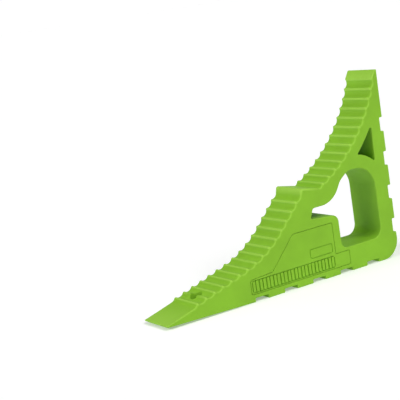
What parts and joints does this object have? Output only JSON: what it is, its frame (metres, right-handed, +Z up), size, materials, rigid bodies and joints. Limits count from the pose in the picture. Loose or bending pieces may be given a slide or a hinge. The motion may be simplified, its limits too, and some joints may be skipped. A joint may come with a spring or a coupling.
{
  "type": "wheel chock",
  "caption": "Thick moulded plastic wheel chock with two curved fluted wheel faces, a hand hole, a toothed base and rear, and flush side plates.",
  "frame": {"origin": "centre of the length and width, on the floor plane under the feet", "axes": "+Z up, +X towards the upright rear face, -X towards the thin toe, +Y to the right-hand side seen from behind the rear face looking along -X"},
  "size_m": [0.306, 0.046, 0.21],
  "materials": {
    "moulding": "through-coloured bright green moulding, faint satin",
    "plate": "through-coloured bright green moulding, faint satin"
  },
  "bodies": {
    "root": {"chock_body": "moulding", "side_plate_left": "plate", "side_plate_right": "plate"}
  },
  "joints": []
}
